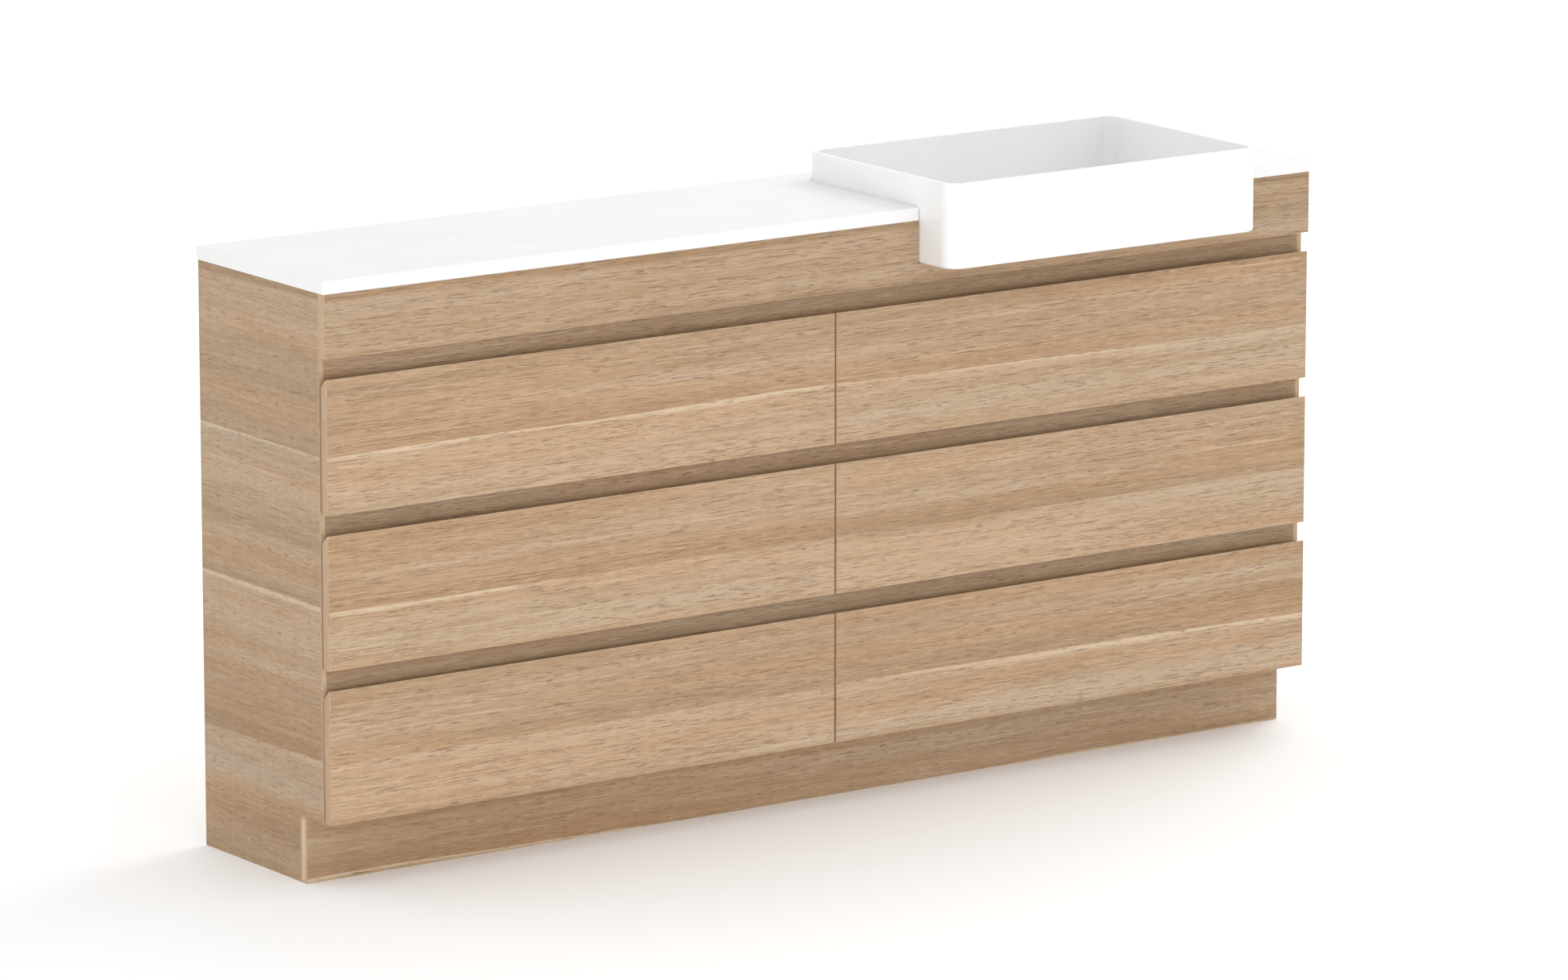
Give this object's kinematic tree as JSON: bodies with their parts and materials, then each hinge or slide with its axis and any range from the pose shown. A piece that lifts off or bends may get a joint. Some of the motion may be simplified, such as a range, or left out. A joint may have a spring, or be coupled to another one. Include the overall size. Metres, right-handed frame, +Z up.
{
  "type": "bathroom vanity with basin",
  "caption": "Long floor-standing bathroom vanity with handle-free drawers, a thin benchtop and a rectangular basin that projects in front at the right.",
  "frame": {"origin": "on the floor, under the middle of the whole object's box (basin and benchtop included)", "axes": "+X to the right seen from the front, +Y from the front towards the wall behind, +Z up"},
  "size_m": [1.804, 0.43, 0.95],
  "materials": {
    "oak_melamine": "pale oak-grain melamine, matt",
    "benchtop_white": "white, honed",
    "basin_white": "white, satin",
    "drawer_steel": "light grey powder coat",
    "runner_steel": "bright zinc plate",
    "drawer_board": "light grey melamine, matt",
    "polished_metal": "polished chrome plate",
    "waste_brass": "plain cast and turned",
    "trap_plastic": "white moulded plastic"
  },
  "bodies": {
    "cabinet": {"side_panel_left": "oak_melamine", "side_panel_right": "oak_melamine", "centre_partition": "oak_melamine", "cabinet_floor": "oak_melamine", "back_panel": "oak_melamine", "wall_fixing_rail": "oak_melamine", "finger_rail_bottom": "oak_melamine", "finger_rail_middle": "oak_melamine", "finger_rail_top": "oak_melamine", "fascia_panel": "oak_melamine", "basin_rear_support": "oak_melamine", "kickboard": "oak_melamine", "plinth_end_left": "oak_melamine", "plinth_end_right": "oak_melamine", "plinth_back_rail": "oak_melamine", "benchtop": "benchtop_white", "basin": "basin_white", "waste_body": "polished_metal", "waste_nut": "waste_brass", "trap_body": "trap_plastic", "trap_cup": "trap_plastic", "trap_outlet_pipe": "trap_plastic", "cabinet_runner_members": "runner_steel"},
    "drawer_bottom_left": {"drawer_bottom_left_front": "oak_melamine", "drawer_bottom_left_side_left": "drawer_steel", "drawer_bottom_left_side_right": "drawer_steel", "drawer_bottom_left_base": "drawer_board", "drawer_bottom_left_back": "drawer_board"},
    "runners_bottom_left": {"drawer_bottom_left_runners": "runner_steel"},
    "drawer_bottom_right": {"drawer_bottom_right_front": "oak_melamine", "drawer_bottom_right_side_left": "drawer_steel", "drawer_bottom_right_side_right": "drawer_steel", "drawer_bottom_right_base": "drawer_board", "drawer_bottom_right_back": "drawer_board"},
    "runners_bottom_right": {"drawer_bottom_right_runners": "runner_steel"},
    "drawer_middle_left": {"drawer_middle_left_front": "oak_melamine", "drawer_middle_left_side_left": "drawer_steel", "drawer_middle_left_side_right": "drawer_steel", "drawer_middle_left_base": "drawer_board", "drawer_middle_left_back": "drawer_board"},
    "runners_middle_left": {"drawer_middle_left_runners": "runner_steel"},
    "drawer_middle_right": {"drawer_middle_right_front": "oak_melamine", "drawer_middle_right_side_left": "drawer_steel", "drawer_middle_right_side_right": "drawer_steel", "drawer_middle_right_base": "drawer_board", "drawer_middle_right_back": "drawer_board"},
    "runners_middle_right": {"drawer_middle_right_runners": "runner_steel"},
    "drawer_top_left": {"drawer_top_left_front": "oak_melamine", "drawer_top_left_side_left": "drawer_steel", "drawer_top_left_side_right": "drawer_steel", "drawer_top_left_base": "drawer_board", "drawer_top_left_back": "drawer_board"},
    "runners_top_left": {"drawer_top_left_runners": "runner_steel"},
    "drawer_top_right": {"drawer_top_right_front": "oak_melamine", "drawer_top_right_side_left": "drawer_steel", "drawer_top_right_side_right": "drawer_steel", "drawer_top_right_base": "drawer_board", "drawer_top_right_back": "drawer_board"},
    "runners_top_right": {"drawer_top_right_runners": "runner_steel"},
    "plug": {"waste_plug": "polished_metal"}
  },
  "joints": [
    {"name": "drawer_bottom_left_slide", "type": "slide", "parent": "cabinet", "child": "drawer_bottom_left", "axis": [0, -1, 0], "range_m": [0, 0.24]},
    {"name": "runners_bottom_left_slide", "type": "slide", "parent": "cabinet", "child": "runners_bottom_left", "axis": [0, -1, 0], "range_m": [0, 0.12]},
    {"name": "drawer_bottom_right_slide", "type": "slide", "parent": "cabinet", "child": "drawer_bottom_right", "axis": [0, -1, 0], "range_m": [0, 0.24]},
    {"name": "runners_bottom_right_slide", "type": "slide", "parent": "cabinet", "child": "runners_bottom_right", "axis": [0, -1, 0], "range_m": [0, 0.12]},
    {"name": "drawer_middle_left_slide", "type": "slide", "parent": "cabinet", "child": "drawer_middle_left", "axis": [0, -1, 0], "range_m": [0, 0.24]},
    {"name": "runners_middle_left_slide", "type": "slide", "parent": "cabinet", "child": "runners_middle_left", "axis": [0, -1, 0], "range_m": [0, 0.12]},
    {"name": "drawer_middle_right_slide", "type": "slide", "parent": "cabinet", "child": "drawer_middle_right", "axis": [0, -1, 0], "range_m": [0, 0.24]},
    {"name": "runners_middle_right_slide", "type": "slide", "parent": "cabinet", "child": "runners_middle_right", "axis": [0, -1, 0], "range_m": [0, 0.12]},
    {"name": "drawer_top_left_slide", "type": "slide", "parent": "cabinet", "child": "drawer_top_left", "axis": [0, -1, 0], "range_m": [0, 0.24]},
    {"name": "runners_top_left_slide", "type": "slide", "parent": "cabinet", "child": "runners_top_left", "axis": [0, -1, 0], "range_m": [0, 0.12]},
    {"name": "drawer_top_right_slide", "type": "slide", "parent": "cabinet", "child": "drawer_top_right", "axis": [0, -1, 0], "range_m": [0, 0.24]},
    {"name": "runners_top_right_slide", "type": "slide", "parent": "cabinet", "child": "runners_top_right", "axis": [0, -1, 0], "range_m": [0, 0.12]},
    {"name": "plug_lift", "type": "slide", "parent": "cabinet", "child": "plug", "axis": [0, 0, 1], "range_m": [0, 0.007]}
  ],
  "couplings": [
    {"joint": "runners_bottom_left_slide", "follows": "drawer_bottom_left_slide", "ratio": 0.5},
    {"joint": "runners_bottom_right_slide", "follows": "drawer_bottom_right_slide", "ratio": 0.5},
    {"joint": "runners_middle_left_slide", "follows": "drawer_middle_left_slide", "ratio": 0.5},
    {"joint": "runners_middle_right_slide", "follows": "drawer_middle_right_slide", "ratio": 0.5},
    {"joint": "runners_top_left_slide", "follows": "drawer_top_left_slide", "ratio": 0.5},
    {"joint": "runners_top_right_slide", "follows": "drawer_top_right_slide", "ratio": 0.5}
  ]
}
